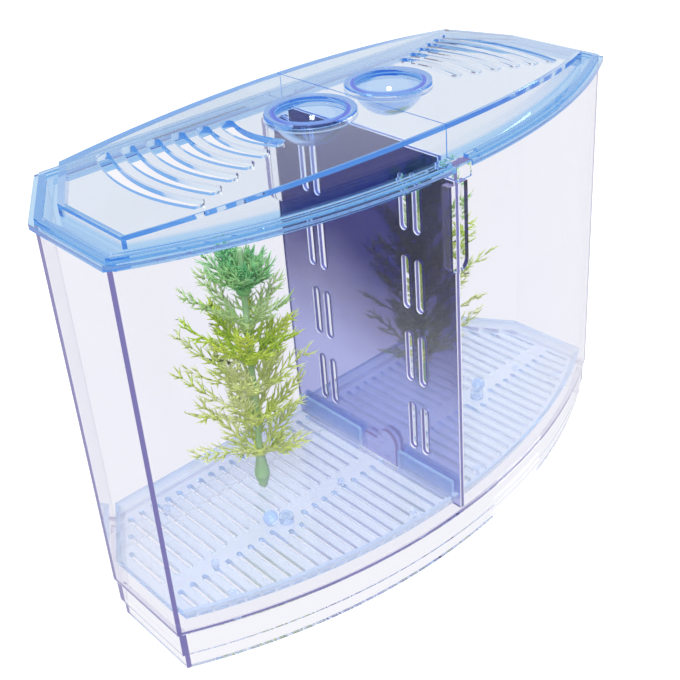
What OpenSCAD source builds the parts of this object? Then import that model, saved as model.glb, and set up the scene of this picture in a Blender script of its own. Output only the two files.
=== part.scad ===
// Fish breeding box: a clear tank with a bowed front, a slide-in divider, two slotted floor trays,
// two lid halves with drop-in feeding cups, and a pegged plant in each chamber.
// Sizes are in mm. The origin is under the middle of the tank, on the face it stands on.
// X runs along the tank, the bowed front faces -Y and Z is up.

/* [Tank] */
// outside length of the tank walls
body_w = 197.2; // [190:0.2:210]
// outside depth from the back wall to the middle of the bow
body_d = 86.6; // [84:0.2:92]
// how far the bow stands out in front of the front corners
bow_rise = 25; // [20:1:28]
// cut back corners, measured along x
cut_x = 16.5; // [12:0.5:20]
// cut back corners, measured along y
cut_y = 27; // [22:1:32]
// tank wall thickness
wall = 2.2; // [1.8:0.1:2.6]
// height of the tank rim
rim_z = 137.6; // [136:0.2:145]
// height of the floor's upper face
floor_z = 15.2; // [13:0.2:17]
// floor thickness
floor_t = 2.2; // [1.8:0.1:3]
// step from the walls in to the plinth
plinth_inset = 0.7; // [0.4:0.1:1.2]
// step from the walls in to the foot skirt
foot_inset = 1.7; // [1.4:0.1:2.4]
// height of the foot skirt
foot_h = 6.3; // [4:0.1:8]
// thickness of the foot skirt
foot_t = 2.2; // [1.8:0.1:2.6]

/* [Seam lug] */
// width of the clear lug at the front of the rim
lug_w = 6; // [4:0.5:8]
// how far the lug stands out of the front wall
lug_proud = 1.2; // [0.6:0.1:1.4]
// how far the lug reaches below the rim
lug_drop = 3; // [2:0.5:6]
// how far the lug stands above the rim
lug_rise = 2; // [1:0.5:2.5]
// room round the lug in the lid halves
lug_gap = 0.4; // [0.3:0.1:0.8]

/* [Divider] */
// thickness of the divider plate
divider_t = 2; // [1.6:0.1:2.4]
// room between the divider's edges and the walls
divider_gap = 0.9; // [0.6:0.1:1.2]
// depth of the divider's shoulders below the tank's rim
shoulder_drop = 4.4; // [3.8:0.2:8]
// height of the divider's middle part above the rim
divider_rise = 1.4; // [0:0.2:3.4]
// room between the divider's middle part and the lid walls
tongue_gap = 1.8; // [0.4:0.1:2.4]
// distance of each slot column from the divider's middle
column_y = 22.3; // [18:0.1:26]
// half the distance between the two slots of a pair
pair_y = 2.8; // [2.4:0.1:4]
// width of a divider slot
pass_w = 3; // [2:0.1:3.4]
// length of a divider slot
pass_l = 18.7; // [12:0.1:22]
// height of the lowest slot centre
pass_z = 38.8; // [36:0.2:40]
// rise from one slot row to the next
pass_pitch = 27.4; // [24:0.1:28]
// number of slot rows
pass_rows = 4; // [2:1:4]

/* [Guides and clip] */
// width of a wall guide
guide_w = 7.5; // [6:0.5:9]
// how far a guide stands in from the wall
guide_d = 3; // [2.4:0.1:4]
// length of the guides
guide_l = 28.5; // [20:0.5:40]
// depth of the guides' upper end below the rim
guide_drop = 5.1; // [3.5:0.1:9]
// plastic left behind a guide's channel
guide_web = 0.4; // [0.2:0.1:0.5]
// room on each face of the divider in its channels
channel_gap = 0.3; // [0.2:0.1:0.5]
// thickness of each cheek of the foot clip
clip_t = 1.2; // [0.8:0.1:1.3]
// width of the clip's domed part
clip_dome_w = 9; // [7:0.5:10]
// height of the clip's domed part above the floor
clip_dome_h = 16.2; // [12:0.2:18]
// length of the clip's lower wing
clip_wing_w = 8; // [6:0.5:9]
// height of the clip's lower wing above the floor
clip_wing_h = 10.8; // [8:0.2:11.4]
// corner radius of the wing
clip_wing_r = 3; // [1:0.5:4]
// position of the join between dome and wing
clip_y = -3.2; // [-4:0.1:-3]

/* [Trays] */
// room between a tray and the tank walls
tray_gap = 1; // [0.6:0.1:1.6]
// room between a tray and the divider
tray_seam_gap = 0.5; // [0.4:0.1:0.8]
// height of the feet under a tray
tray_foot_h = 1.8; // [1.2:0.1:3]
// radius of the feet
tray_foot_r = 1.3; // [1:0.1:1.3]
// thickness of a tray's plate
tray_t = 2; // [1.6:0.1:2.6]
// height of the flared rim above the plate's upper face
rim_h = 2.6; // [1.6:0.1:3.6]
// how far the rim flares out over its height
rim_run = 2.2; // [1.6:0.1:2.4]
// width of the rim's edge
rim_t = 1.4; // [1.2:0.1:1.5]
// height of the lip beside the divider above the plate's upper face
lip_h = 6.8; // [4:0.2:9]
// thickness of the lip beside the divider
lip_t = 1.2; // [1:0.1:1.3]
// slots in each row of a tray
slot_count = 20; // [18:1:20]
// distance from the tank's middle to the first slot
slot_first = 4.3; // [4.2:0.1:4.6]
// plain margin between the last slot and the tray's end
slot_margin_end = 6.55; // [6.4:0.05:8]
// width of a slot
slot_w = 1.7; // [1.2:0.1:1.8]
// plain strip between the slot rows, front edge
strip_front = -5.6; // [-7:0.1:-5]
// plain strip between the slot rows, back edge
strip_back = 0.2; // [0:0.1:1]
// plain margin between the slots and the bowed edge
slot_margin_front = 3.9; // [3.9:0.1:6]
// plain margin between the slots and the cut corner's edge
slot_margin_cut = 3.9; // [3.9:0.1:6]
// plain margin between the slots and the back edge
slot_margin_back = 6.7; // [5:0.1:8]
// room round the foot clip in a tray
clip_room = 1; // [0.6:0.1:1.2]
// room between the clip's cheeks and a tray
clip_side_room = 0.3; // [0.2:0.1:0.4]
// radius of the lifting knob's ball
knob_r = 2.45; // [2:0.05:2.6]
// distance of the knob from the tank's middle
knob_x = 50.8; // [50.5:0.1:52]
// position of the knob from front to back
knob_y = -3.1; // [-3.2:0.1:-2.6]
// outside radius of the small socket ring
socket_r = 2.4; // [2.2:0.1:2.5]
// hole radius of the socket ring
socket_hole = 1.3; // [1:0.1:1.4]
// height of the socket ring
socket_h = 2.6; // [1.5:0.1:3]
// distance of the socket ring from the tank's middle
socket_x = 46.6; // [46.4:0.1:46.8]
// position of the socket ring from front to back
socket_y = -6; // [-6.2:0.1:-5.8]
// how much the two slots beside the socket ring are shortened
socket_room = 4.2; // [4:0.1:6]

/* [Lid] */
// how far the lid's edge stands out past the walls
overhang = 1.4; // [1:0.1:2.4]
// thickness of the flange
flange_t = 1.8; // [1.4:0.1:2.2]
// distance from the flange's edge to its raised bead
bead_in = 1.6; // [1:0.1:2.2]
// width of the raised bead
bead_w = 1.9; // [1:0.1:2.4]
// height of the bead above the flange
bead_h = 1; // [0.4:0.1:1.4]
// distance from the flange's edge to the raised top, at the ends
top_in_end = 8; // [7:0.1:10]
// the same distance at the front
top_in_front = 6.7; // [6.5:0.1:10]
// the same distance at the back
top_in_back = 8.9; // [7:0.1:10]
// height of the raised top above the rim at the seam
lid_rise = 11.6; // [11.2:0.2:18]
// how much lower the arched top is above the ends
arch_drop = 6.3; // [3:0.1:6.5]
// shell thickness of the lid
shell = 2; // [1.6:0.1:2.2]
// gap between the two lid halves
seam_gap = 0.4; // [0.2:0.1:0.8]
// height of the locating rib below the flange
rib_h = 2; // [1:0.1:3]
// thickness of the locating rib
rib_t = 1.4; // [1:0.1:2]
// room between the locating rib and the walls
rib_gap = 0.5; // [0.4:0.1:0.8]
// distance from the seam to the locating rib's ends
rib_clear = 10; // [4.5:0.5:12]

/* [Vents] */
// number of arc slots in each lid half
vent_count = 6; // [3:1:6]
// distance from the seam to the arcs' common centre
vent_x = 8; // [6:0.5:10]
// position of the arcs' common centre from front to back
vent_y = 2.7; // [0:0.1:4]
// radius of the innermost arc
vent_first = 30.5; // [30:0.5:34]
// distance from arc to arc
vent_pitch = 7.2; // [6.4:0.1:7.6]
// width of an arc slot
vent_w = 4; // [3:0.1:4.2]
// angle from the middle to the back end of each arc
vent_back = 21.6; // [16:0.1:22.5]
// distance from the middle to the front end of the innermost arc
vent_front = 11.5; // [9:0.1:12]
// further distance for each next arc
vent_front_step = 1.95; // [1:0.05:2]

/* [Feeding cups] */
// distance of a cup's centre from the seam
cup_x = 15.9; // [15.8:0.1:20]
// position of a cup's centre from front to back
cup_y = 0.8; // [-2:0.1:4]
// outside radius of the cup's rim
cup_rim_r = 13.5; // [13.4:0.1:14]
// thickness of the cup's rim
cup_rim_t = 1.7; // [1.4:0.1:2]
// how far the rim stands above the top of the lid
cup_proud = 0.4; // [0.2:0.1:0.8]
// outside radius of the bowl
cup_bowl_r = 12; // [11:0.1:12.2]
// wall thickness of the cup
cup_t = 1.3; // [1:0.1:1.6]
// room round the cup in the lid
cup_gap = 0.3; // [0.3:0.1:0.6]
// width of the reinforced seat under the rim
seat_w = 1.6; // [1:0.1:1.7]
// depth of the reinforced seat
seat_t = 1.9; // [1.4:0.1:2.4]

/* [Plants] */
// tray slot that holds the plant's nib, counted from the seam
plant_slot = 8; // [7:1:9]
// position of the plant from front to back
plant_y = 14.3; // [10:0.1:16]
// lean of the plant towards the front, in degrees
plant_lean = 2.2; // [0:0.1:3]
// radius of the nib
nib_r = 0.55; // [0.4:0.05:0.55]
// length of the nib
nib_l = 1.5; // [1:0.1:1.7]
// radius of the peg's tip
peg_tip_r = 1.4; // [1.2:0.1:1.6]
// largest radius of the peg
peg_r = 2.65; // [2.2:0.05:3]
// height of the peg's thickest point above the tray
peg_mid = 4.8; // [3:0.1:6]
// height of the peg above the tray
peg_h = 13.2; // [12:0.1:13.4]
// radius of the stem
stem_r = 1; // [0.8:0.1:1.2]
// height of the stem above the tray
stem_h = 92; // [86:0.5:96]
// room between the stem and the whorl hubs
hub_gap = 0.2; // [0.1:0.05:0.3]
// wall thickness of a hub
hub_t = 1.2; // [0.8:0.1:1.4]
// height of a hub
hub_h = 2.4; // [2:0.1:3]
// thickness of the collar under each hub
collar_h = 0.8; // [0.6:0.1:1]
// radius of the collars
collar_r = 1.7; // [1.5:0.1:1.8]
// fronds in each whorl
frond_count = 7; // [5:1:7]
// width of a frond's rib at the hub
rib_w = 1.2; // [0.8:0.1:1.3]
// thickness of a frond
frond_t = 0.8; // [0.5:0.1:1]
// needle pairs on each frond
pair_count = 5; // [2:1:6]
// length of a needle
needle_l = 7; // [5:0.1:8]
// width of a needle where it leaves the rib
needle_w = 1; // [0.6:0.1:1.2]
// width of a needle's tip
needle_tip = 0.4; // [0.2:0.1:0.5]
// angle between a needle and its frond
needle_turn = 38; // [30:1:45]
// share by which the fronds are longer on the plant's full side
full_side = 0.18; // [0:0.02:0.3]
// direction of the full side, in degrees from the right
full_turn = 146; // [130:1:160]
// room kept between the plant and the back wall
plant_room = 2; // [1:0.1:4]

/* [Hidden] */
$fn = 96;
eps = 0.02;
big = 400;
vent_bulb = 0.06;
bow_r = (pow(body_w / 2, 2) + pow(bow_rise, 2)) / (2 * bow_rise);
bow_y = bow_r - body_d / 2;
cut_l = norm([cut_x, cut_y]);
cut_turn = atan(cut_x / cut_y);
cut_distance = (body_w / 2 * cut_y + (body_d / 2 - cut_y) * cut_x) / cut_l;
front_in = wall - body_d / 2;
inside_top = rim_z - floor_z;
flange_z = rim_z + flange_t;
top_z = rim_z + lid_rise;
shoulder_z = rim_z - shoulder_drop;
divider_top = rim_z + divider_rise;
guide_high = rim_z - guide_drop;
guide_low = guide_high - guide_l;
arch_x = body_w / 2 + overhang - top_in_end;
arch_r = (pow(arch_x, 2) + pow(arch_drop, 2)) / (2 * arch_drop);
channel_w = divider_t + 2 * channel_gap;
divider_half = body_d / 2 - wall - divider_gap;
tray_in = wall + tray_gap;
tray_z = floor_z + tray_foot_h;
tray_top = tray_z + tray_t;
slot_pitch = (body_w / 2 - tray_in - slot_margin_end - slot_first) / (slot_count - 1);
clip_half = channel_w / 2 + clip_t + clip_side_room;
cup_rim_z = top_z + cup_proud;
seat_z = cup_rim_z - cup_rim_t;
cup_hole_r = cup_bowl_r + cup_gap;
plant_x = slot_first + plant_slot * slot_pitch;
plant_z = tray_top + peg_tip_r * sin(plant_lean) + eps;
hub_r = stem_r + hub_gap + hub_t;
plant_reach = body_d / 2 - wall - plant_y - plant_room;
fan = 0.9 * tan(180 / frond_count);
tier_z = [for (share = [0.15, 0.29, 0.42, 0.55, 0.69, 0.83]) share * stem_h];
tier_reach = [19, 21.5, 21, 18, 16, 11];
tier_rise = [18, 33, 36, 38, 42, 44];
tier_steep = [22, 6, 4, 0, 0, 0];
tier_turn = [8, 33, 19, 44, 2, 27];

// y on the cut back corner's line, drawn in by inset, for a distance x from the middle
function cut_line(x, inset) =
    body_d / 2 - cut_y + (cut_y * (body_w / 2 - x) - inset * cut_l) / cut_x;

// x on the same line for a given y
function cut_at(y, inset) =
    body_w / 2 - (cut_x * (y - body_d / 2 + cut_y) + inset * cut_l) / cut_y;

// y on the bow, drawn in by inset
function bow_at(x, inset) = bow_y - sqrt(pow(bow_r - inset, 2) - x * x);

// footprint drawn in from the outside of the walls; front and back may be drawn in further
module plan(inset, front = 0, back = 0) {
    half = body_w / 2 - inset;
    rear = body_d / 2 - inset - back;
    intersection() {
        translate([0, bow_y])
            circle(r = bow_r - inset - front, $fn = 360);
        polygon([
            [-half, -body_d], [half, -body_d], [half, cut_line(half, inset)],
            [cut_at(rear, inset), rear], [-cut_at(rear, inset), rear],
            [-half, cut_line(half, inset)]
        ]);
    }
}

// everything inside a leaning plane whose upper edge is distance away in the direction turn
module inside(turn, distance, high, tilt) {
    rotate([0, 0, turn])
        translate([distance, 0, high])
            rotate([0, tilt, 0])
                translate([-big, -big / 2, -big / 2])
                    cube(big);
}

// left part of the footprint as a flared dish, drawn in by inset at the top and by run more below
module dish(low, high, inset, run) {
    tilt = atan(run / (high - low));
    intersection() {
        translate([0, bow_y, low])
            cylinder(r1 = bow_r - inset - run, r2 = bow_r - inset, h = high - low, $fn = 360);
        inside(90, body_d / 2 - inset, high, tilt);
        inside(180, body_w / 2 - inset, high, tilt);
        inside(180 - cut_turn, cut_distance - inset, high, tilt);
    }
}

module slab(low, high, inset, front = 0, back = 0) {
    translate([0, 0, low])
        linear_extrude(high - low)
            plan(inset, front, back);
}

// straight slot with round ends, along y, standing on z
module slot_y(x, from, to, width, low, high) {
    translate([x - width / 2, from + width / 2, low])
        cube([width, to - from - width, high - low]);
    for (y = [from + width / 2, to - width / 2])
        translate([x, y, low])
            cylinder(r = width / 2, h = high - low);
}

// slot with round ends, along z, cut through x
module slot_z(y, middle, length, width) {
    straight = length - width;
    translate([-big / 2, y - width / 2, middle - straight / 2])
        cube([big, width, straight]);
    for (z = [-straight / 2, straight / 2])
        translate([-big / 2, y, middle + z])
            rotate([0, 90, 0])
                cylinder(r = width / 2, h = big);
}

module guide() {
    round_z = guide_low + guide_w / 2;
    difference() {
        union() {
            translate([-guide_w / 2, front_in - wall / 2, round_z])
                cube([guide_w, guide_d + wall / 2, guide_high - round_z]);
            translate([0, front_in - wall / 2, round_z])
                rotate([-90, 0, 0])
                    cylinder(r = guide_w / 2, h = guide_d + wall / 2);
        }
        translate([-channel_w / 2, front_in + guide_web, guide_low - 1])
            cube([channel_w, guide_d, guide_high - guide_low + 2]);
    }
}

module clip_cheek() {
    dome_y = clip_y - clip_dome_w / 2;
    dome_r = clip_dome_w / 2;
    wing_y = clip_y + clip_wing_w - clip_wing_r;
    low = floor_z - floor_t / 2;
    translate([channel_w / 2, 0, 0]) {
        translate([0, dome_y - dome_r, low])
            cube([clip_t, clip_dome_w, floor_z + clip_dome_h - dome_r - low]);
        translate([0, dome_y, floor_z + clip_dome_h - dome_r])
            rotate([0, 90, 0])
                cylinder(r = dome_r, h = clip_t);
        translate([0, dome_y, low])
            cube([clip_t, wing_y - dome_y, floor_z + clip_wing_h - low]);
        translate([0, dome_y, low])
            cube([clip_t, wing_y - dome_y + clip_wing_r, floor_z + clip_wing_h - clip_wing_r - low]);
        translate([0, wing_y, floor_z + clip_wing_h - clip_wing_r])
            rotate([0, 90, 0])
                cylinder(r = clip_wing_r, h = clip_t);
    }
}

module tank() {
    color([0.85, 0.85, 0.93, 0.4]) {
        difference() {
            union() {
                slab(floor_z, rim_z, 0);
                slab(foot_h, floor_z, plinth_inset);
                slab(0, foot_h, foot_inset);
            }
            slab(floor_z, rim_z + 1, wall);
            slab(-1, floor_z - floor_t, foot_inset + foot_t);
        }
        guide();
        mirror([0, 1, 0])
            guide();
        clip_cheek();
        mirror([1, 0, 0])
            clip_cheek();
        translate([-lug_w / 2, -body_d / 2 - lug_proud, rim_z - lug_drop])
            cube([lug_w, lug_proud + wall / 2, lug_drop + lug_rise]);
        translate([-lug_w / 2, -body_d / 2 - lug_proud, rim_z - eps])
            cube([lug_w, lug_proud + wall, lug_rise + eps]);
    }
}

module divider() {
    tongue_front = -body_d / 2 - overhang + top_in_front + shell + tongue_gap;
    tongue_back = body_d / 2 + overhang - top_in_back - shell - tongue_gap;
    color([0.45, 0.45, 0.75, 0.6])
        difference() {
            union() {
                translate([-divider_t / 2, -divider_half, floor_z])
                    cube([divider_t, 2 * divider_half, shoulder_z - floor_z]);
                translate([-divider_t / 2, tongue_front, floor_z])
                    cube([divider_t, tongue_back - tongue_front, divider_top - floor_z]);
            }
            for (row = [0 : pass_rows - 1], column = [-column_y, column_y], side = [-pair_y, pair_y])
                slot_z(column + side, pass_z + row * pass_pitch, pass_l, pass_w);
        }
}

// the left tray; the right one is its mirror image
module tray() {
    seam = divider_t / 2 + tray_seam_gap;
    rim_top = tray_top + rim_h;
    front_room = slot_margin_front + tray_in;
    front_foot = front_room + 3;
    back_foot = body_d / 2 - tray_in - slot_margin_back - 3;
    strip_foot = (strip_front + strip_back) / 2;
    clip_front = clip_y - clip_dome_w - clip_room;
    clip_back = clip_y + clip_wing_w + clip_room;
    difference() {
        intersection() {
            union() {
                difference() {
                    dish(tray_z, rim_top, tray_in, rim_run);
                    intersection() {
                        dish(tray_z, rim_top, tray_in + rim_t, rim_run);
                        translate([-big / 2, -big / 2, tray_top])
                            cube(big);
                    }
                }
                intersection() {
                    slab(tray_z, tray_top + lip_h, tray_in + rim_run);
                    translate([-seam - lip_t, -big / 2, 0])
                        cube(big);
                }
            }
            translate([-big - seam, -big / 2, 0])
                cube(big);
        }
        translate([-clip_half, clip_front, tray_z - 1])
            cube([clip_half, clip_back - clip_front, lip_h + tray_t + 2]);
        for (k = [0 : slot_count - 1]) {
            x = slot_first + k * slot_pitch;
            room = abs(x - socket_x) < slot_pitch * 0.75 ? socket_room : 0;
            back = min(body_d / 2 - tray_in - slot_margin_back, cut_line(x, tray_in + slot_margin_cut));
            slot_y(-x, bow_at(x, front_room), strip_front - room, slot_w, tray_z - 1, tray_top + 1);
            slot_y(-x, strip_back, back, slot_w, tray_z - 1, tray_top + 1);
        }
    }
    for (foot = [[3, strip_foot], [15, strip_foot], [3, back_foot], [14, back_foot],
        [2, bow_at(slot_first + 2.5 * slot_pitch, front_foot)],
        [16, bow_at(slot_first + 16.5 * slot_pitch, front_foot)]])
        translate([-slot_first - (foot[0] + 0.5) * slot_pitch, foot[1], floor_z])
            cylinder(r = tray_foot_r, h = tray_foot_h + tray_t / 2);
    translate([-knob_x, knob_y, tray_top + knob_r - 0.1])
        sphere(r = knob_r);
    translate([-knob_x, knob_y, tray_top - tray_t / 2])
        cylinder(r = knob_r * 0.6, h = tray_t / 2 + knob_r * 0.6);
    difference() {
        translate([-socket_x, socket_y, tray_top - tray_t / 2])
            cylinder(r = socket_r, h = socket_h + tray_t / 2);
        translate([-socket_x, socket_y, tray_top])
            cylinder(r = socket_hole, h = socket_h + 1);
    }
}

module grate_left() {
    color([0.72, 0.84, 0.96, 0.7])
        tray();
}

module grate_right() {
    color([0.72, 0.84, 0.96, 0.7])
        mirror([1, 0, 0])
            tray();
}

// everything under the arched top, lowered by depth
module under_arch(depth) {
    translate([0, big / 2, top_z - arch_r])
        rotate([90, 0, 0])
            cylinder(r = arch_r - depth, h = big, $fn = 720);
}

// the raised part of the lid, drawn in by depth
module raised(depth, low) {
    intersection() {
        slab(low, top_z + 1, top_in_end - overhang + depth, top_in_front - top_in_end,
            top_in_back - top_in_end);
        under_arch(depth);
    }
}

// one arc vent of the left lid half
module vent(radius, reach) {
    front = asin(reach / radius);
    translate([-vent_x, vent_y, 0]) {
        rotate([0, 0, 180 - vent_back])
            rotate_extrude(angle = vent_back + front)
                translate([radius - vent_w / 2, rim_z])
                    square([vent_w, top_z - rim_z + 1]);
        for (turn = [180 - vent_back, 180 + front])
            rotate([0, 0, turn])
                translate([radius, 0, rim_z])
                    cylinder(r = vent_w / 2 + vent_bulb, h = top_z - rim_z + 1);
    }
}

// the left lid half; the right one is its mirror image
module lid_half() {
    rib_in = wall + rib_gap;
    intersection() {
        difference() {
            union() {
                slab(rim_z, flange_z, -overhang);
                difference() {
                    slab(rim_z, flange_z + bead_h, bead_in - overhang);
                    slab(rim_z - 1, flange_z + bead_h + 1, bead_in + bead_w - overhang);
                }
                raised(0, rim_z);
                difference() {
                    slab(rim_z - rib_h, rim_z + flange_t / 2, rib_in);
                    slab(rim_z - rib_h - 1, rim_z + flange_t, rib_in + rib_t);
                    translate([-rib_clear, -body_d, rim_z - rib_h - 1])
                        cube([2 * rib_clear, 2 * body_d, rib_h + 1]);
                }
            }
            difference() {
                raised(shell, rim_z - 1);
                translate([-cup_x, cup_y, seat_z - seat_t])
                    cylinder(r = cup_hole_r + seat_w, h = big);
            }
            translate([-cup_x, cup_y, rim_z - 1])
                cylinder(r = cup_hole_r, h = top_z - rim_z + 2);
            translate([-cup_x, cup_y, seat_z])
                cylinder(r = cup_rim_r + cup_gap, h = top_z - seat_z + 1);
            for (k = [0 : vent_count - 1])
                vent(vent_first + k * vent_pitch, vent_front + k * vent_front_step);
            translate([-lug_w / 2 - lug_gap, -body_d, rim_z - 1])
                cube([lug_w + 2 * lug_gap, body_d / 2 + wall + lug_gap, flange_t + bead_h + 2]);
        }
        translate([-big - seam_gap / 2, -big / 2, 0])
            cube([big, big, big]);
    }
}

module lid_left() {
    color([0.35, 0.6, 0.95, 0.5])
        lid_half();
}

module lid_right() {
    color([0.35, 0.6, 0.95, 0.5])
        mirror([1, 0, 0])
            lid_half();
}

module cup() {
    translate([-cup_x, cup_y, 0])
        difference() {
            union() {
                translate([0, 0, seat_z])
                    cylinder(r = cup_rim_r, h = cup_rim_t);
                translate([0, 0, cup_rim_z])
                    sphere(r = cup_bowl_r);
            }
            translate([0, 0, cup_rim_z])
                sphere(r = cup_bowl_r - cup_t);
            translate([0, 0, cup_rim_z])
                cylinder(r = cup_rim_r + 1, h = big);
        }
}

module feeding_cup_left() {
    color([0.3, 0.5, 0.95, 0.6])
        cup();
}

module feeding_cup_right() {
    color([0.3, 0.5, 0.95, 0.6])
        mirror([1, 0, 0])
            cup();
}

// places a left plant's piece on its tray slot with the plant's lean
module planted() {
    translate([-plant_x, plant_y, plant_z])
        rotate([plant_lean, 0, 0])
            children();
}

module stem() {
    planted() {
        translate([0, 0, -nib_l])
            cylinder(r = nib_r, h = nib_l + 1);
        cylinder(r1 = peg_tip_r, r2 = peg_r, h = peg_mid);
        translate([0, 0, peg_mid])
            cylinder(r1 = peg_r, r2 = stem_r + 0.4, h = peg_h - peg_mid);
        translate([0, 0, peg_h - 1])
            cylinder(r = stem_r, h = stem_h - peg_h + 1 - stem_r);
        translate([0, 0, stem_h - stem_r])
            sphere(r = stem_r);
        for (z = tier_z)
            translate([0, 0, z - collar_h])
                cylinder(r = collar_r, h = collar_h);
    }
}

// length of a needle at a distance s along its frond, short enough to clear the next frond
function needle_at(s, rise) =
    max(1, min(needle_l, (fan * s * cos(rise) - 0.6)
        / max(sin(needle_turn) - fan * cos(needle_turn) * cos(rise), 0.05)));

// one frond: a flat rib with needle pairs, lying along x
module frond(reach, rise) {
    start = hub_r - hub_t / 2;
    length = (reach - start) / cos(rise);
    edge = [for (k = [0 : pair_count - 1])
        let (
            s = length * (0.2 + 0.68 * k / pair_count),
            w = rib_w / 2 * (1 - 0.6 * s / length),
            along = needle_at(s, rise) * cos(needle_turn),
            across = needle_at(s, rise) * sin(needle_turn)
        )
        each [[s, w], [s + along, w + across], [s + along + needle_tip, w + across], [s + needle_w, w]]];
    outline = concat([[0, rib_w / 2]], edge, [[length, needle_tip / 2]]);
    last = len(outline) - 1;
    other = [for (k = [0 : last]) [outline[last - k][0], -outline[last - k][1]]];
    translate([start, 0, 0])
        rotate([0, -rise, 0])
            translate([0, 0, -frond_t / 2])
                linear_extrude(frond_t)
                    polygon(concat(outline, other));
}

module whorl(tier) {
    planted()
        translate([0, 0, tier_z[tier]]) {
            difference() {
                cylinder(r = hub_r, h = hub_h);
                translate([0, 0, -1])
                    cylinder(r = stem_r + hub_gap, h = hub_h + 2);
            }
            for (k = [0 : frond_count - 1]) {
                turn = tier_turn[tier] + k * 360 / frond_count;
                room = plant_reach / max(sin(turn), 0.01);
                reach = tier_reach[tier] * (1 + full_side * cos(turn - full_turn));
                rise = tier_rise[tier] + tier_steep[tier] * pow(sin(turn - full_turn), 2);
                rotate([0, 0, turn])
                    translate([0, 0, hub_h / 2])
                        frond(min(reach, room - 1), rise);
            }
        }
}

module left_whorl(tier) {
    color(tier < 4 ? [0.62, 0.75, 0.2] : [0.2, 0.6, 0.35])
        whorl(tier);
}

module right_whorl(tier) {
    color(tier < 4 ? [0.62, 0.75, 0.2] : [0.2, 0.6, 0.35])
        mirror([1, 0, 0])
            whorl(tier);
}

module plant_left_stem() {
    color([0.35, 0.6, 0.2])
        stem();
}

module plant_right_stem() {
    color([0.35, 0.6, 0.2])
        mirror([1, 0, 0])
            stem();
}

tank();
divider();
lid_left();
lid_right();
feeding_cup_left();
feeding_cup_right();
grate_left();
grate_right();
plant_left_stem();
left_whorl(0);  // plant_left_whorl_1
left_whorl(1);  // plant_left_whorl_2
left_whorl(2);  // plant_left_whorl_3
left_whorl(3);  // plant_left_whorl_4
left_whorl(4);  // plant_left_whorl_5
left_whorl(5);  // plant_left_whorl_6
plant_right_stem();
right_whorl(0);  // plant_right_whorl_1
right_whorl(1);  // plant_right_whorl_2
right_whorl(2);  // plant_right_whorl_3
right_whorl(3);  // plant_right_whorl_4
right_whorl(4);  // plant_right_whorl_5
right_whorl(5);  // plant_right_whorl_6
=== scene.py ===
import bpy
import math
import random
from mathutils import Matrix, Vector


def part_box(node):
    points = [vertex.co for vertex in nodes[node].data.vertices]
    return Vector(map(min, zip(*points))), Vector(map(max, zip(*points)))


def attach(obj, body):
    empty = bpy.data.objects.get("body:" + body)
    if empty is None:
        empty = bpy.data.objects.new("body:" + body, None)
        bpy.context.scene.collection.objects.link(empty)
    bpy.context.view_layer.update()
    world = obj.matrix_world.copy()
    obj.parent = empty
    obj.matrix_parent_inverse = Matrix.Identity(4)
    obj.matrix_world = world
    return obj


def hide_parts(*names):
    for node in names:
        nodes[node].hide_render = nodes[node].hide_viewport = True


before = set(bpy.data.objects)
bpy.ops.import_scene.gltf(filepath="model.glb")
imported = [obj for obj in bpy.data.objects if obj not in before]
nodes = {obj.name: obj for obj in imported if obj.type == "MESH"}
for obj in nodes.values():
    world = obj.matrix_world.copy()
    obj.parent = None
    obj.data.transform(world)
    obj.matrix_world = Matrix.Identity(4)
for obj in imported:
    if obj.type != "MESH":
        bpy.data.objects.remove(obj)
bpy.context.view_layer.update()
mm = 0.001
needleSeed = 7            # another number grows other needles
random.seed(needleSeed)
print("frame loaded:", len(nodes), "nodes")


# an sRGB hex value as linear red, green, blue and alpha, by the sRGB standard's curve
def linearColour(hexText, alpha=1.0):
    channels = [int(hexText[i:i + 2], 16) / 255 for i in (1, 3, 5)]
    return [c / 12.92 if c <= 0.04045 else ((c + 0.055) / 1.055) ** 2.4 for c in channels] + [alpha]


# inputs are plain values or other nodes' outputs, and settings are the node's own options
def addNode(tree, kind, inputs=None, **settings):
    node = tree.nodes.new(kind)
    for name, value in settings.items():
        setattr(node, name, value)
    for socket, value in (inputs or {}).items():
        if isinstance(value, bpy.types.NodeSocket):
            tree.links.new(value, node.inputs[socket])
        else:
            node.inputs[socket].default_value = value
    return node


def newMaterial(name):
    material = bpy.data.materials.new(name)
    material.use_nodes = True
    material.node_tree.nodes.clear()
    return material, material.node_tree


def useMaterial(nodeName, material):
    for materialSlot in nodes[nodeName].material_slots:
        materialSlot.material = material


innerMirrors = 2.5        # painted light: rays mirrored inside the plastic more often than this glow in a painted edge colour
innerBounces = 9.5        # painted light: rays that crossed more surfaces than this glow in the background's colour
paintedBackgroundGlowColour = "#f8f9fe"
rippleStrength = 0.35     # slow waves that the melt left in the faces
glossFrom, glossTo = 0.35, 0.75   # noise values between which the polish changes
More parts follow.
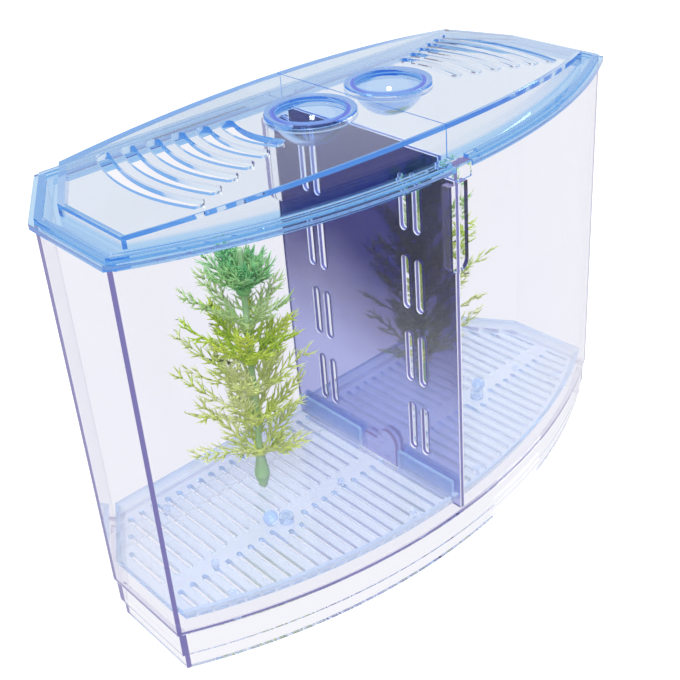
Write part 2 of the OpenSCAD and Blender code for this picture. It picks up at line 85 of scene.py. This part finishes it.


# Injection moulded polystyrene, clear or tinted through: glossy, bends light, and its edges look
# deeper in colour than its faces because the eye looks along more plastic there.
# Painted light: rays mirrored inside it often glow in a painted edge colour, and rays that crossed
# many surfaces glow in a painted background white.
def mouldedStyrene(name, plastic):
    material, tree = newMaterial(name)
    place = addNode(tree, "ShaderNodeTexCoord")
    flow = addNode(tree, "ShaderNodeTexNoise", {
        "Vector": place.outputs["Object"], "Scale": 1 / (plastic["flowSize"] * mm), "Detail": 1.0})
    handling = addNode(tree, "ShaderNodeTexNoise", {
        "Vector": place.outputs["Object"],
        "Scale": 1 / (plastic["handlingSize"] * mm), "Detail": 3.0})
    roughness = addNode(tree, "ShaderNodeMapRange", {
        "Value": handling.outputs["Fac"], "From Min": glossFrom, "From Max": glossTo,
        "To Min": plastic["gloss"][0], "To Max": plastic["gloss"][1]})
    ripple = addNode(tree, "ShaderNodeBump", {
        "Height": flow.outputs["Fac"], "Strength": rippleStrength,
        "Distance": plastic["flowDepth"] * mm})
    height = addNode(tree, "ShaderNodeSeparateXYZ", {"Vector": place.outputs["Object"]})
    isHigh = addNode(tree, "ShaderNodeMapRange", {
        "Value": height.outputs["Z"], "From Min": plastic["changeAt"] * mm,
        "From Max": (plastic["changeAt"] + plastic["changeOver"]) * mm})
    tint = addNode(tree, "ShaderNodeMix", {
        "Factor": isHigh.outputs["Result"], "A": linearColour(plastic["lowSkin"]),
        "B": linearColour(plastic["skin"])}, data_type="RGBA")
    surface = addNode(tree, "ShaderNodeBsdfPrincipled", {
        "Base Color": tint.outputs["Result"], "Roughness": roughness.outputs["Result"],
        "IOR": plastic["ior"], "Specular Tint": linearColour(plastic["mirror"]),
        "Transmission Weight": plastic["clearness"], "Normal": ripple.outputs["Normal"]})
    path = addNode(tree, "ShaderNodeLightPath")
    mirrored = addNode(tree, "ShaderNodeMath", {
        0: path.outputs["Glossy Depth"], 1: innerMirrors}, operation="GREATER_THAN")
    deep = addNode(tree, "ShaderNodeMath", {
        0: path.outputs["Ray Depth"], 1: innerBounces}, operation="GREATER_THAN")
    # painted light: the plastic glows in the background's white for rays that crossed many surfaces
    paintedBackgroundGlow = addNode(tree, "ShaderNodeEmission", {"Color": linearColour(paintedBackgroundGlowColour)})
    clear = addNode(tree, "ShaderNodeMixShader", {
        "Fac": deep.outputs[0], 1: surface.outputs["BSDF"], 2: paintedBackgroundGlow.outputs["Emission"]})
    # painted light: the plastic glows in its painted edge colour for rays mirrored inside it often
    inner = addNode(tree, "ShaderNodeEmission", {"Color": linearColour(plastic["paintedEdgeGlowColour"])})
    both = addNode(tree, "ShaderNodeMixShader", {
        "Fac": mirrored.outputs[0], 1: clear.outputs["Shader"], 2: inner.outputs["Emission"]})
    lampLight = addNode(tree, "ShaderNodeBsdfTransparent", {"Color": linearColour(plastic["skin"])})
    lit = addNode(tree, "ShaderNodeMixShader", {
        "Fac": path.outputs["Is Shadow Ray"],
        1: both.outputs["Shader"], 2: lampLight.outputs["BSDF"]})
    depth = addNode(tree, "ShaderNodeVolumeAbsorption", {
        "Color": linearColour(plastic["depthColour"]), "Density": plastic["depthPerMetre"]})
    addNode(tree, "ShaderNodeOutputMaterial", {
        "Surface": lit.outputs["Shader"], "Volume": depth.outputs["Volume"]})
    material.cycles.emission_sampling = "NONE"
    return material


# Clear polystyrene: faces almost without colour, and purple grey where the eye looks into an edge,
# partly from its absorption and partly from a painted glow.
tankPlastic = {
    "skin": "#fcfcfe",
    "lowSkin": "#fcfcfe",
    "changeAt": 0,        # mm, height above which the skin's own colour starts
    "changeOver": 1,
    "mirror": "#909090",  # greyed, so that less of the white studio veils the faces
    "depthColour": "#aaa6d8",
    "depthPerMetre": 24,  # how fast the plastic's own colour grows with the way through it
    # painted light: the glow where light is mirrored inside the plastic's edges
    "paintedEdgeGlowColour": "#8f8abf",
    "clearness": 1.0,
    "ior": 1.5,           # a little under polystyrene's 1.59, which keeps the edges pale
    "gloss": (0.0, 0.03),
    "flowSize": 45,       # mm across one slow wave left by the melt
    "flowDepth": 0.05,
    "handlingSize": 6,    # mm between patches rubbed a little dull
}

# Blue tinted polystyrene: nearly clear in the thin top, sky blue in the flange and
# royal blue in its edges.
lidPlastic = {
    "skin": "#f2f5f8",
    "lowSkin": "#c0e0f7", # the flange is looked at edge on, so it shows more of its colour
    "changeAt": 140,
    "changeOver": 1,
    "mirror": "#c8c8c8",
    "depthColour": "#38b4f0",
    "depthPerMetre": 50,
    # painted light: the glow where light is mirrored inside the plastic's edges
    "paintedEdgeGlowColour": "#8cc2f5",
    "clearness": 1.0,
    "ior": 1.5,
    "gloss": (0.01, 0.06),
    "flowSize": 30,
    "flowDepth": 0.05,
    "handlingSize": 5,
}

# The cups are of the same blue polystyrene, and look stronger round the rim and under the bowl;
# their edge glow colour is painted light.
cupPlastic = dict(lidPlastic, skin="#cbe3fa", lowSkin="#86c4fa", changeAt=136, changeOver=8,
                  mirror="#ffffff", depthColour="#48b0f6", depthPerMetre=95,
                  paintedEdgeGlowColour="#7cb8f4")

# Pale blue polystyrene, a little milky: it scatters light, so the slots read as grey lines.
trayPlastic = {
    "skin": "#cfe3fa",    # the rim and lips, seen through their height
    "lowSkin": "#f2f8ff",
    "changeAt": 19.4,
    "changeOver": 3,
    "mirror": "#ffffff",
    "depthColour": "#68b4f4",
    "depthPerMetre": 36,
    # painted light: the glow where light is mirrored inside the plastic's edges
    "paintedEdgeGlowColour": "#c4e0fa",
    "clearness": 0.8,
    "ior": 1.5,
    "gloss": (0.05, 0.12),
    "flowSize": 20,
    "flowDepth": 0.04,
    "handlingSize": 4,
}

useMaterial("tank", mouldedStyrene("clear injection moulded polystyrene", tankPlastic))
lidMaterial = mouldedStyrene("blue injection moulded polystyrene", lidPlastic)
cupMaterial = mouldedStyrene("deep blue injection moulded polystyrene", cupPlastic)
trayMaterial = mouldedStyrene("pale blue injection moulded polystyrene", trayPlastic)
for side in ("left", "right"):
    useMaterial("lid_" + side, lidMaterial)
    useMaterial("feeding_cup_" + side, cupMaterial)
    useMaterial("grate_" + side, trayMaterial)

# Smoked polystyrene, lilac at the foot; the indigo towards the top, reaching lower at the front, is
# a painted reflection of a dark room.
dividerPlastic = {
    # painted reflection of a dark room, which the plate reaches at its top
    "paintedReflectionColour": "#1e1c78",
    "middleColour": "#8e8cba",
    "footColour": "#bcc1ee",
    # painted highlight along the edges of the slots
    "paintedHighlightColour": "#f6f6fd",
    "cutColour": "#6664a6",
    "paintedHighlightWidth": 0.45,    # mm of each cut face that carries the painted highlight
    "cutFrom": 0.5,       # a face is a cut one where its normal's X part is below this
    "footTo": 62,         # mm, height up to which the plate stays pale
    "middleTo": 88,
    "topFrom": 113,
    "paintedReflectionSlant": 0.12, # how much earlier the painted reflection darkens the plate towards the front
    "cloudSize": 40,
    "cloudShift": 30,     # mm by which the clouds move the colours and the painted reflection up and down
    "gloss": 0.04,
    "clearness": 0.85,
    "cutGloss": 0.35,
    "ior": 1.5,
    "mirror": "#909090",
}


# Injection moulded and glossy, with a painted reflection that darkens it towards the top and front,
# and a painted highlight along the edges of its slots.
def smokedStyrene(name, plate):
    material, tree = newMaterial(name)
    place = addNode(tree, "ShaderNodeTexCoord")
    point = addNode(tree, "ShaderNodeSeparateXYZ", {"Vector": place.outputs["Object"]})
    cloud = addNode(tree, "ShaderNodeTexNoise", {
        "Vector": place.outputs["Object"], "Scale": 1 / (plate["cloudSize"] * mm), "Detail": 2.0})
    # painted reflection: the darkening starts lower towards the front
    forward = addNode(tree, "ShaderNodeMath", {
        0: point.outputs["Y"], 1: -plate["paintedReflectionSlant"],
        2: point.outputs["Z"]}, operation="MULTIPLY_ADD")
    drift = addNode(tree, "ShaderNodeMath", {
        0: cloud.outputs["Fac"], 1: plate["cloudShift"] * mm,
        2: forward.outputs[0]}, operation="MULTIPLY_ADD")
    lower = addNode(tree, "ShaderNodeMapRange", {
        "Value": drift.outputs[0], "From Min": plate["footTo"] * mm,
        "From Max": plate["middleTo"] * mm})
    # painted reflection: from middleTo up to topFrom the plate darkens into the painted reflection
    # colour
    upper = addNode(tree, "ShaderNodeMapRange", {
        "Value": drift.outputs[0], "From Min": plate["middleTo"] * mm,
        "From Max": plate["topFrom"] * mm})
    paleTint = addNode(tree, "ShaderNodeMix", {
        "Factor": lower.outputs["Result"], "A": linearColour(plate["footColour"]),
        "B": linearColour(plate["middleColour"])}, data_type="RGBA")
    tint = addNode(tree, "ShaderNodeMix", {
        "Factor": upper.outputs["Result"], "A": paleTint.outputs["Result"],
        "B": linearColour(plate["paintedReflectionColour"])}, data_type="RGBA")
    plateFace = addNode(tree, "ShaderNodeBsdfPrincipled", {
        "Base Color": tint.outputs["Result"], "Roughness": plate["gloss"], "IOR": plate["ior"],
        "Specular Tint": linearColour(plate["mirror"]), "Transmission Weight": plate["clearness"]})
    low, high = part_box("divider")
    # painted highlight: a thin bright line on each cut face next to the plate's faces
    across = addNode(tree, "ShaderNodeMath", {0: point.outputs["X"]}, operation="ABSOLUTE")
    isPaintedHighlight = addNode(tree, "ShaderNodeMath", {
        0: across.outputs[0], 1: high.x - plate["paintedHighlightWidth"] * mm}, operation="GREATER_THAN")
    cutTint = addNode(tree, "ShaderNodeMix", {
        "Factor": isPaintedHighlight.outputs[0], "A": linearColour(plate["cutColour"]),
        "B": linearColour(plate["paintedHighlightColour"])}, data_type="RGBA")
    cutFace = addNode(tree, "ShaderNodeBsdfPrincipled", {
        "Base Color": cutTint.outputs["Result"], "Roughness": plate["cutGloss"],
        "IOR": plate["ior"]})
    facing = addNode(tree, "ShaderNodeSeparateXYZ", {"Vector": place.outputs["Normal"]})
    sideways = addNode(tree, "ShaderNodeMath", {0: facing.outputs["X"]}, operation="ABSOLUTE")
    isCut = addNode(tree, "ShaderNodeMath", {
        0: sideways.outputs[0], 1: plate["cutFrom"]}, operation="LESS_THAN")
    both = addNode(tree, "ShaderNodeMixShader", {
        "Fac": isCut.outputs[0], 1: plateFace.outputs["BSDF"], 2: cutFace.outputs["BSDF"]})
    path = addNode(tree, "ShaderNodeLightPath")
    lampLight = addNode(tree, "ShaderNodeBsdfTransparent", {
        "Color": linearColour(plate["middleColour"])})
    lit = addNode(tree, "ShaderNodeMixShader", {
        "Fac": path.outputs["Is Shadow Ray"],
        1: both.outputs["Shader"], 2: lampLight.outputs["BSDF"]})
    addNode(tree, "ShaderNodeOutputMaterial", {"Surface": lit.outputs["Shader"]})
    return material


useMaterial("divider", smokedStyrene("smoked injection moulded polystyrene", dividerPlastic))
print("plastics done")


satinRoughness = 0.42
polyethyleneIor = 1.51
patchFrom, patchTo = 0.35, 0.65   # noise values between which the shade changes


# Injection moulded soft polyethylene: satin, and thin enough that light comes through the needles.
def softPolyethylene(name, leaf):
    material, tree = newMaterial(name)
    place = addNode(tree, "ShaderNodeTexCoord")
    patch = addNode(tree, "ShaderNodeTexNoise", {
        "Vector": place.outputs["Object"], "Scale": 1 / (leaf["patchSize"] * mm), "Detail": 2.0})
    ramp = addNode(tree, "ShaderNodeMapRange", {
        "Value": patch.outputs["Fac"], "From Min": patchFrom, "From Max": patchTo})
    colour = addNode(tree, "ShaderNodeMix", {
        "Factor": ramp.outputs["Result"], "A": linearColour(leaf["dark"]),
        "B": linearColour(leaf["light"])}, data_type="RGBA")
    skin = addNode(tree, "ShaderNodeBsdfPrincipled", {
        "Base Color": colour.outputs["Result"], "Roughness": satinRoughness,
        "IOR": polyethyleneIor})
    through = addNode(tree, "ShaderNodeBsdfTranslucent", {"Color": colour.outputs["Result"]})
    both = addNode(tree, "ShaderNodeMixShader", {
        "Fac": leaf["through"], 1: skin.outputs["BSDF"], 2: through.outputs["BSDF"]})
    addNode(tree, "ShaderNodeOutputMaterial", {"Surface": both.outputs["Shader"]})
    return material


# Each whorl is moulded in its own green, in uneven shades where the pigment mixed badly.
leafPlastic = {"dark": "#dcee6c", "light": "#f4fab4", "patchSize": 16, "through": 0.12}
freshPlastic = {"dark": "#ccec30", "light": "#e8f65c", "patchSize": 12, "through": 0.12}
upperPlastic = {"dark": "#c0e48a", "light": "#dcf2a6", "patchSize": 12, "through": 0.12}
crownPlastic = {"dark": "#68c87c", "light": "#bcec98", "patchSize": 10, "through": 0.12}
stemPlastic = {"dark": "#9cca8a", "light": "#bedcae", "patchSize": 12, "through": 0.1}
leafMaterial = softPolyethylene("yellow green moulded polyethylene", leafPlastic)
freshMaterial = softPolyethylene("chartreuse moulded polyethylene", freshPlastic)
upperMaterial = softPolyethylene("mid green moulded polyethylene", upperPlastic)
crownMaterial = softPolyethylene("emerald moulded polyethylene", crownPlastic)
stemMaterial = softPolyethylene("green moulded polyethylene", stemPlastic)
tierMaterial = [leafMaterial] * 3 + [freshMaterial, upperMaterial, crownMaterial]
for side in ("left", "right"):
    useMaterial("plant_" + side + "_stem", stemMaterial)

# mm and degrees; the lists give one value for each whorl, from the lowest up
plant = {
    "x": 39.9, "y": 14.3, "z": 19.1,          # the peg's tip on its tray
    "lean": 2.2,
    "stemHeight": 92,
    "tierShare": [0.15, 0.29, 0.42, 0.55, 0.69, 0.83],
    "tierReach": [19, 21.5, 21, 18, 16, 11],
    "tierRise": [18, 33, 36, 38, 42, 44],
    "tierSteep": [22, 6, 4, 0, 0, 0],
    "tierTurn": [8, 33, 19, 44, 2, 27],
    "fullSide": 0.18,     # share by which the fronds are longer on the full side
    "fullTurn": 146,
    "fronds": 7,
    "hubRadius": 2.4,
    "hubHeight": 2.4,
    "hubHole": 1.25,
    "hubSides": 16,
    "needlePairs": [6, 6, 6, 7, 6, 6],
    "needleLength": 9.0,
    "needleWidth": 1.0,
    "twigLength": 4.6,    # side needles on each needle
    "tierInner": [(1, 3, 5), (1, 3, 5), (1, 3, 5), (1, 3, 5), (), (0, 1, 2, 3, 4, 5, 6)],
    "innerReach": 0.6,    # a shorter, steeper frond stands in each of those gaps
    "innerRise": 22,
    "backRoom": 24.8,     # from the stem to the back wall, with some room
    "tipGap": 1,          # left of that room past the end of a frond
    "spare": 2.0,         # needles may stand out of their moulding's box by this
}

# how one frond grows; pairs are the lowest and highest of a random choice
frond = {
    "sunk": 0.6,          # mm of its root inside the hub
    "tipRoom": 1.5,       # mm left for the needles past its tip
    "sway": ((-0.08, 0.08), (-0.08, 0.08), (-0.06, 0.1)),
    "steps": 6,
    "width": 1.15,
    "narrowing": 0.8,
    "flatness": 0.6,
    "bareShare": 0.16,    # no needles on this share of it, next to the hub
    "tipShortening": 0.45,
    "rootLength": (0.45, 1.8),      # needles start at this share and grow this fast
    "spread": (24, 42),
    "tilt": (-0.3, 0.45),
    "bendLift": 0.4,
    "bend": (0.02, 0.035),
    "lengths": (0.8, 1.1),
    "taper": (0.85, 1.6),           # share lost at the tip, and how late
    "needleSteps": 4,
    "twigsAt": ((1, 1), (2, -1)),   # step of the needle and side of each twig
    "twigSpread": (22, 36),
    "twigTilt": (-0.2, 0.3),
    "twigShortening": 0.3,
    "twigWidth": 0.8,
    "twigSteps": 2,
}


# a pointed blade with four sides through the spine's points, as wide at each as widths says
def blade(vertices, faces, spine, widths, flatness, up):
    first = len(vertices)
    for k, (point, width) in enumerate(zip(spine, widths)):
        ahead = spine[min(k + 1, len(spine) - 1)] - spine[max(k - 1, 0)]
        side = ahead.cross(up).normalized() * width / 2
        lift = side.cross(ahead).normalized() * width / 2 * flatness
        vertices.extend([point + side, point + lift, point - side, point - lift])
        if k:
            a, b = first + 4 * (k - 1), first + 4 * k
            faces.extend([(a + j, a + (j + 1) % 4, b + (j + 1) % 4, b + j) for j in range(4)])
    faces.append([first + j for j in (3, 2, 1, 0)])
    faces.append([len(vertices) - 4 + j for j in range(4)])


# points from start along direction, bent more and more towards bend
def curve(start, direction, length, bend, steps):
    return [start + direction * (length * t) + bend * (length * t * t)
            for t in [k / steps for k in range(steps + 1)]]


def needle(vertices, faces, root, aim, size, width, bend, up, steps):
    spine = curve(root, aim, size, bend, steps)
    lost, late = frond["taper"]
    widths = [width * (1 - lost * (k / steps) ** late) for k in range(steps + 1)]
    blade(vertices, faces, spine, widths, frond["flatness"], up)
    return spine


def frondBlades(vertices, faces, turn, tier, reach, rise):
    upward = Vector((0, 0, 1))
    out = Vector((math.cos(turn), math.sin(turn), 0))
    direction = out * math.cos(rise) + upward * math.sin(rise)
    start = out * (plant["hubRadius"] - frond["sunk"]) + upward * (plant["hubHeight"] / 2)
    length = (reach - plant["hubRadius"]) / math.cos(rise) - frond["tipRoom"]
    sway = Vector([random.uniform(*limits) for limits in frond["sway"]])
    steps = frond["steps"]
    widths = [frond["width"] - frond["narrowing"] * k / steps for k in range(steps + 1)]
    blade(vertices, faces, curve(start, direction, length, sway, steps), widths,
          frond["flatness"], upward)
    across = direction.cross(upward).normalized()
    lift = across.cross(direction)
    bare, pairs = frond["bareShare"], plant["needlePairs"][tier]
    short, growth = frond["rootLength"]
    for k in range(pairs):
        share = bare + (1 - bare) * k / (pairs - 1)
        root = start + direction * (length * share) + sway * (length * share * share)
        size = (plant["needleLength"] * (1 - frond["tipShortening"] * share)
                * min(1, short + share * growth))
        for sideways in (-1, 1):
            spread = math.radians(random.uniform(*frond["spread"]))
            tilt = random.uniform(*frond["tilt"])
            aim = (direction * math.cos(spread) + across * math.sin(spread) * sideways
                   + lift * tilt).normalized()
            bend = (direction + lift * frond["bendLift"]) * random.uniform(*frond["bend"])
            spine = needle(vertices, faces, root, aim, size * random.uniform(*frond["lengths"]),
                           plant["needleWidth"], bend, lift, frond["needleSteps"])
            for step, twigSide in frond["twigsAt"]:
                fork = math.radians(random.uniform(*frond["twigSpread"])) * twigSide * sideways
                side = aim.cross(lift).normalized()
                twigAim = (aim * math.cos(fork) + side * math.sin(fork)
                           + lift * random.uniform(*frond["twigTilt"])).normalized()
                twigLength = plant["twigLength"] * (1 - frond["twigShortening"] * share)
                needle(vertices, faces, spine[step], twigAim, twigLength,
                       plant["needleWidth"] * frond["twigWidth"], bend, lift, frond["twigSteps"])


def hubRing(vertices, faces):
    first, count = len(vertices), plant["hubSides"]
    inner, outer, tall = plant["hubHole"], plant["hubRadius"], plant["hubHeight"]
    profile = ((inner, 0), (outer, 0), (outer, tall), (inner, tall))
    for radius, z in profile:
        for k in range(count):
            angle = 2 * math.pi * k / count
            vertices.append(Vector((radius * math.cos(angle), radius * math.sin(angle), z)))
    for ring in range(len(profile)):
        low, high = first + ring * count, first + (ring + 1) % len(profile) * count
        for k in range(count):
            faces.append((low + k, low + (k + 1) % count, high + (k + 1) % count, high + k))


def whorlShape(tier):
    vertices, faces = [], []
    hubRing(vertices, faces)
    for k in range(2 * plant["fronds"]):
        gap, isInner = divmod(k, 2)
        if isInner and gap not in plant["tierInner"][tier]:
            continue
        turn = math.radians(plant["tierTurn"][tier] + k * 180 / plant["fronds"])
        away = turn - math.radians(plant["fullTurn"])
        reach = plant["tierReach"][tier] * (1 + plant["fullSide"] * math.cos(away))
        rise = plant["tierRise"][tier] + plant["tierSteep"][tier] * math.sin(away) ** 2
        if isInner:
            reach, rise = reach * plant["innerReach"], rise + plant["innerRise"]
        towardsBack = max(math.sin(turn), 0.01)     # a frond that points forward has room enough
        room = plant["backRoom"] / towardsBack - plant["tipGap"]
        frondBlades(vertices, faces, turn, tier, min(reach, room), math.radians(rise))
    return vertices, faces


# the whorl stands on its leaning stem, and the right plant is the left one mirrored
def makeWhorl(side, tier):
    nodeName = "plant_%s_whorl_%d" % (side, tier + 1)
    mirror = 1 if side == "left" else -1
    vertices, faces = whorlShape(tier)
    up = plant["tierShare"][tier] * plant["stemHeight"]
    seat = (Matrix.Translation(Vector((-plant["x"], plant["y"], plant["z"])))
            @ Matrix.Rotation(math.radians(plant["lean"]), 4, "X")
            @ Matrix.Translation(Vector((0, 0, up))))
    spare = plant["spare"] * mm
    low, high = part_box(nodeName)
    placed = []
    for vertex in vertices:
        point = seat @ vertex
        point = Vector((point.x * mirror, point.y, point.z)) * mm
        placed.append([min(max(p, a - spare), b + spare) for p, a, b in zip(point, low, high)])
    mesh = bpy.data.meshes.new(nodeName + "_needles")
    mesh.from_pydata(placed, [], faces if mirror > 0 else [tuple(reversed(f)) for f in faces])
    mesh.update()
    mesh.materials.append(tierMaterial[tier])
    for polygon in mesh.polygons:
        polygon.use_smooth = True
    piece = bpy.data.objects.new(nodeName + "_needles", mesh)
    bpy.context.scene.collection.objects.link(piece)
    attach(piece, "plant_" + side)
    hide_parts(nodeName)


for side in ("left", "right"):
    for tier in range(len(tierMaterial)):
        makeWhorl(side, tier)
print("plants done")

stage = {
    "floorColour": "#f7f7f8",
    "floorSize": 6000,
    "floorGap": 0.2,      # mm under the foot
    "floorLift": 0.3,     # light added where the camera sees the floor, so it looks white
    "floorThrough": "#fdfdff",      # the floor as plastic shows and mirrors it
    "skyColour": "#ffffff",
    "skyForObjects": 0.82,          # the sky's strength where it lights the box
    "lampColour": "#ffffff",
    "lampAim": (0, 0, 70),
}

floorMesh = bpy.data.meshes.new("floor")
half = stage["floorSize"] / 2 * mm
drop = -stage["floorGap"] * mm
corners = [(x * half, y * half, drop) for x, y in ((-1, -1), (1, -1), (1, 1), (-1, 1))]
floorMesh.from_pydata(corners, [], [(0, 1, 2, 3)])
floor = bpy.data.objects.new("floor", floorMesh)
bpy.context.scene.collection.objects.link(floor)
floorMaterial, tree = newMaterial("matt white paper")
paper = addNode(tree, "ShaderNodeBsdfDiffuse", {"Color": linearColour(stage["floorColour"])})
lightPath = addNode(tree, "ShaderNodeLightPath")
looked = addNode(tree, "ShaderNodeMath", {
    0: lightPath.outputs["Is Camera Ray"], 1: stage["floorLift"]}, operation="MULTIPLY")
lift = addNode(tree, "ShaderNodeEmission", {"Strength": looked.outputs[0]})
lifted = addNode(tree, "ShaderNodeAddShader", {
    0: paper.outputs["BSDF"], 1: lift.outputs["Emission"]})
white = addNode(tree, "ShaderNodeEmission", {"Color": linearColour(stage["floorThrough"])})
beyond = addNode(tree, "ShaderNodeMath", {
    0: lightPath.outputs["Is Glossy Ray"],
    1: lightPath.outputs["Is Transmission Ray"]}, operation="MAXIMUM")
sheet = addNode(tree, "ShaderNodeMixShader", {
    "Fac": beyond.outputs[0], 1: lifted.outputs["Shader"], 2: white.outputs["Emission"]})
addNode(tree, "ShaderNodeOutputMaterial", {"Surface": sheet.outputs["Shader"]})
floorMaterial.cycles.emission_sampling = "NONE"
floorMesh.materials.append(floorMaterial)

world = bpy.data.worlds.new("studio")
bpy.context.scene.world = world
world.use_nodes = True
tree = world.node_tree
tree.nodes.clear()
lightPath = addNode(tree, "ShaderNodeLightPath")
cameraOrGloss = addNode(tree, "ShaderNodeMath", {
    0: lightPath.outputs["Is Camera Ray"],
    1: lightPath.outputs["Is Glossy Ray"]}, operation="MAXIMUM")
seen = addNode(tree, "ShaderNodeMath", {
    0: cameraOrGloss.outputs[0],
    1: lightPath.outputs["Is Transmission Ray"]}, operation="MAXIMUM")
strength = addNode(tree, "ShaderNodeMapRange", {
    "Value": seen.outputs[0], "To Min": stage["skyForObjects"], "To Max": 1.0})
sky = addNode(tree, "ShaderNodeBackground", {
    "Color": linearColour(stage["skyColour"]), "Strength": strength.outputs["Result"]})
addNode(tree, "ShaderNodeOutputWorld", {"Surface": sky.outputs["Background"]})

lamps = {                     # mm and watts
    "key": {"spot": (-500, -500, 900), "size": 260, "watts": 5},
    "fill": {"spot": (700, -300, 600), "size": 260, "watts": 2},
}
for name, lamp in lamps.items():
    light = bpy.data.lights.new(name, "AREA")
    light.energy = lamp["watts"]
    light.size = lamp["size"] * mm
    light.color = linearColour(stage["lampColour"])[:3]
    lampObject = bpy.data.objects.new(name, light)
    spot = Vector(lamp["spot"]) * mm
    lampObject.location = spot
    toObject = Vector(stage["lampAim"]) * mm - spot
    lampObject.rotation_euler = toObject.to_track_quat("-Z", "Y").to_euler()
    bpy.context.scene.collection.objects.link(lampObject)

view = {                      # mm and degrees
    "eye": (-208.1, -233.5, 258.7),
    "aim": (26.45, 21.33, 68.58),
    "roll": -3.36,
    "lens": 58.06,
    "shift": (-0.0585, -0.092),     # shares of the sensor's width
    "sensor": 36,
    "clip": (10, 20000),
}
camera = bpy.data.cameras.new("camera")
camera.lens = view["lens"]
camera.sensor_width = view["sensor"]
camera.shift_x, camera.shift_y = view["shift"]
camera.clip_start, camera.clip_end = [distance * mm for distance in view["clip"]]
eye, aim = Vector(view["eye"]) * mm, Vector(view["aim"]) * mm
forward = (aim - eye).normalized()
level = forward.cross(Vector((0, 0, 1))).normalized()
upright = level.cross(forward)
roll = math.radians(view["roll"])
right = math.cos(roll) * level + math.sin(roll) * upright
above = math.cos(roll) * upright - math.sin(roll) * level
cameraObject = bpy.data.objects.new("camera", camera)
turned = Matrix((right, above, -forward)).transposed().to_4x4()
cameraObject.matrix_world = Matrix.Translation(eye) @ turned
bpy.context.scene.collection.objects.link(cameraObject)
bpy.context.scene.camera = cameraObject
bpy.context.scene.view_settings.view_transform = "Standard"
print("studio done")
